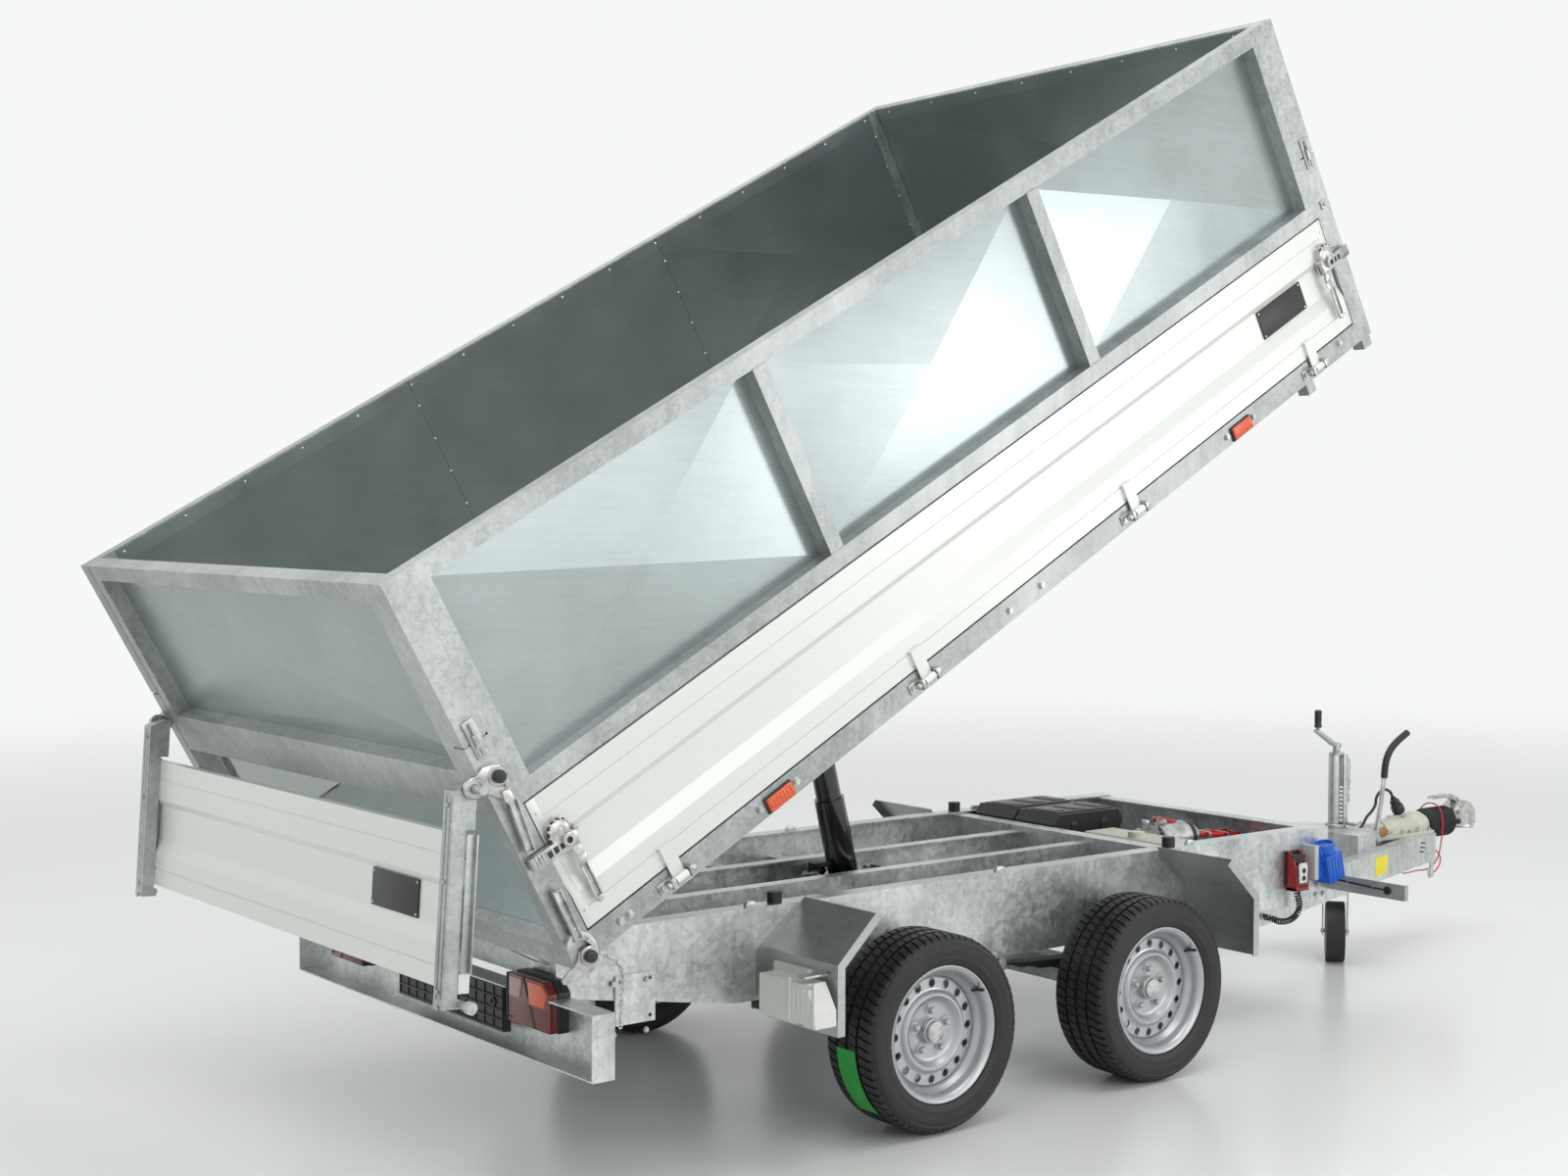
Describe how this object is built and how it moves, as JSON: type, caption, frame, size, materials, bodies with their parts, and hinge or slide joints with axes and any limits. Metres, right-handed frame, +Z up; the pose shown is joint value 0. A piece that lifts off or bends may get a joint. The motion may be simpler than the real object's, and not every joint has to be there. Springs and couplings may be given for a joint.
{
  "type": "tandem-axle tipping trailer",
  "caption": "Tandem-axle tipping trailer with drop sides, tall sheet extension, pendulum tailgate, telescopic cylinder, overrun drawbar and jockey wheel.",
  "frame": {"origin": "on the ground, below the middle of the whole trailer as it stands with its bed tipped", "axes": "+X forward to the tow coupling, +Y to the left, +Z up"},
  "size_m": [5.1112, 1.836, 3.0375],
  "materials": {
    "amber_lens": "amber lens",
    "anodised": "pale anodised",
    "black_paint": "black paint",
    "black_plastic": "matt black",
    "black_rubber": "matt black",
    "blue_plastic": "blue",
    "cast_housing": "pale cast housing",
    "cream_plastic": "cream",
    "galvanised": "mottled hot-dip galvanised",
    "red_lens": "red lens",
    "red_plastic": "dark red",
    "rim_silver": "silver painted",
    "spring_steel": "black paint",
    "tyre_rubber": "matt black",
    "white_plastic": "off-white",
    "zinc_fitting": "bright zinc plated",
    "zinc_sheet": "smooth galvanised sheet"
  },
  "bodies": {
    "chassis": {"side_rails": "galvanised", "cross_members": "galvanised", "pivot_brackets": "galvanised", "rubber_pads": "black_rubber", "cylinder_cradle": "galvanised", "drawbar": "galvanised", "overrun_housing": "cast_housing", "bellows": "black_rubber", "coupling_head": "zinc_fitting", "handbrake_lever": "black_plastic", "jockey_tube": "zinc_fitting", "rear_beam": "galvanised", "tail_lamps": "red_lens", "plate_holder": "black_plastic", "spray_guards": "zinc_sheet", "wheel_chocks": "white_plastic", "leaf_springs": "spring_steel", "spring_hangers": "galvanised", "axles": "galvanised", "battery_box": "black_plastic", "pump_motor": "zinc_fitting", "oil_tank": "cream_plastic", "power_inlet": "blue_plastic", "remote_control": "black_plastic", "marker_brackets": "galvanised", "plug_lead": "black_rubber", "lead_plug": "black_plastic", "breakaway_cable": "red_plastic", "control_lead": "black_rubber"},
    "wheel_rear_left": {"tyre_rear_left": "tyre_rubber", "rim_rear_left": "rim_silver"},
    "wheel_rear_right": {"tyre_rear_right": "tyre_rubber", "rim_rear_right": "rim_silver"},
    "wheel_front_left": {"tyre_front_left": "tyre_rubber", "rim_front_left": "rim_silver"},
    "wheel_front_right": {"tyre_front_right": "tyre_rubber", "rim_front_right": "rim_silver"},
    "jockey_swivel": {"jockey_fork": "zinc_fitting"},
    "jockey_roller": {"jockey_wheel": "black_rubber"},
    "cylinder_barrel": {"cylinder_base": "black_paint"},
    "stage_one": {"cylinder_stage_1": "black_paint"},
    "stage_two": {"cylinder_stage_2": "black_paint"},
    "stage_three": {"cylinder_stage_3": "black_paint"},
    "stage_four": {"cylinder_stage_4": "black_paint"},
    "bed": {"floor_frame": "galvanised", "floor_sheet": "zinc_sheet", "corner_posts": "galvanised", "front_wall": "anodised", "extension_sides": "galvanised", "extension_ends": "galvanised", "extension_panels": "zinc_sheet", "side_markers": "amber_lens", "board_hinges": "zinc_fitting", "tailgate_hooks": "zinc_fitting"},
    "tailgate": {"tailgate_panel": "anodised", "tailgate_uprights": "galvanised"},
    "board_left": {"side_board_left": "anodised"},
    "board_right": {"side_board_right": "anodised"}
  },
  "joints": [
    {"name": "tip", "type": "hinge", "parent": "chassis", "child": "bed", "pos_m": [-2.00386, 0, 0.603], "axis": [0, -1, 0], "range_deg": [-28.9, 16.1]},
    {"name": "tailgate_swing", "type": "hinge", "parent": "bed", "child": "tailgate", "pos_m": [-2.33886, 0, 1.03603], "axis": [0, 1, 0], "range_deg": [-32.7, 87.3]},
    {"name": "board_left_drop", "type": "hinge", "parent": "bed", "child": "board_left", "pos_m": [-0.67529, 0.885, 1.4118], "axis": [-0.8755, 0, -0.4833], "range_deg": [0, 178]},
    {"name": "board_right_drop", "type": "hinge", "parent": "bed", "child": "board_right", "pos_m": [-0.67529, -0.885, 1.4118], "axis": [0.8755, 0, 0.4833], "range_deg": [0, 178]},
    {"name": "wheel_rear_left_turn", "type": "hinge", "parent": "chassis", "child": "wheel_rear_left", "pos_m": [-0.87786, 0.685, 0.262], "axis": [0, 1, 0], "continuous": true},
    {"name": "wheel_rear_right_turn", "type": "hinge", "parent": "chassis", "child": "wheel_rear_right", "pos_m": [-0.87786, -0.685, 0.262], "axis": [0, 1, 0], "continuous": true},
    {"name": "wheel_front_left_turn", "type": "hinge", "parent": "chassis", "child": "wheel_front_left", "pos_m": [-0.04086, 0.685, 0.262], "axis": [0, 1, 0], "continuous": true},
    {"name": "wheel_front_right_turn", "type": "hinge", "parent": "chassis", "child": "wheel_front_right", "pos_m": [-0.04086, -0.685, 0.262], "axis": [0, 1, 0], "continuous": true},
    {"name": "jockey_swivel_turn", "type": "hinge", "parent": "chassis", "child": "jockey_swivel", "pos_m": [1.73814, 0, 0.254], "axis": [0, 0, 1], "continuous": true},
    {"name": "jockey_wheel_turn", "type": "hinge", "parent": "jockey_swivel", "child": "jockey_roller", "pos_m": [1.69984, -0.03214, 0.107], "axis": [-0.6428, 0.766, 0], "continuous": true},
    {"name": "cylinder_tilt", "type": "hinge", "parent": "chassis", "child": "cylinder_barrel", "pos_m": [-0.58286, 0, 0.545], "axis": [0, -1, 0], "range_deg": [-14.42, 8.05]},
    {"name": "stage_one_slide", "type": "slide", "parent": "cylinder_barrel", "child": "stage_one", "axis": [-0.2416, 0, 0.9704], "range_m": [-0.21566, 0.12036]},
    {"name": "stage_two_slide", "type": "slide", "parent": "stage_one", "child": "stage_two", "axis": [-0.2416, 0, 0.9704], "range_m": [-0.17748, 0.0991]},
    {"name": "stage_three_slide", "type": "slide", "parent": "stage_two", "child": "stage_three", "axis": [-0.2416, 0, 0.9704], "range_m": [-0.15805, 0.08827]},
    {"name": "stage_four_slide", "type": "slide", "parent": "stage_three", "child": "stage_four", "axis": [-0.2416, 0, 0.9704], "range_m": [-0.14486, 0.08092]}
  ],
  "couplings": [
    {"joint": "cylinder_tilt", "follows": "tip", "ratio": 0.4971},
    {"joint": "stage_one_slide", "follows": "tip", "m_per_rad": 0.42656},
    {"joint": "stage_two_slide", "follows": "tip", "m_per_rad": 0.35088},
    {"joint": "stage_three_slide", "follows": "tip", "m_per_rad": 0.31235},
    {"joint": "stage_four_slide", "follows": "tip", "m_per_rad": 0.28621}
  ]
}
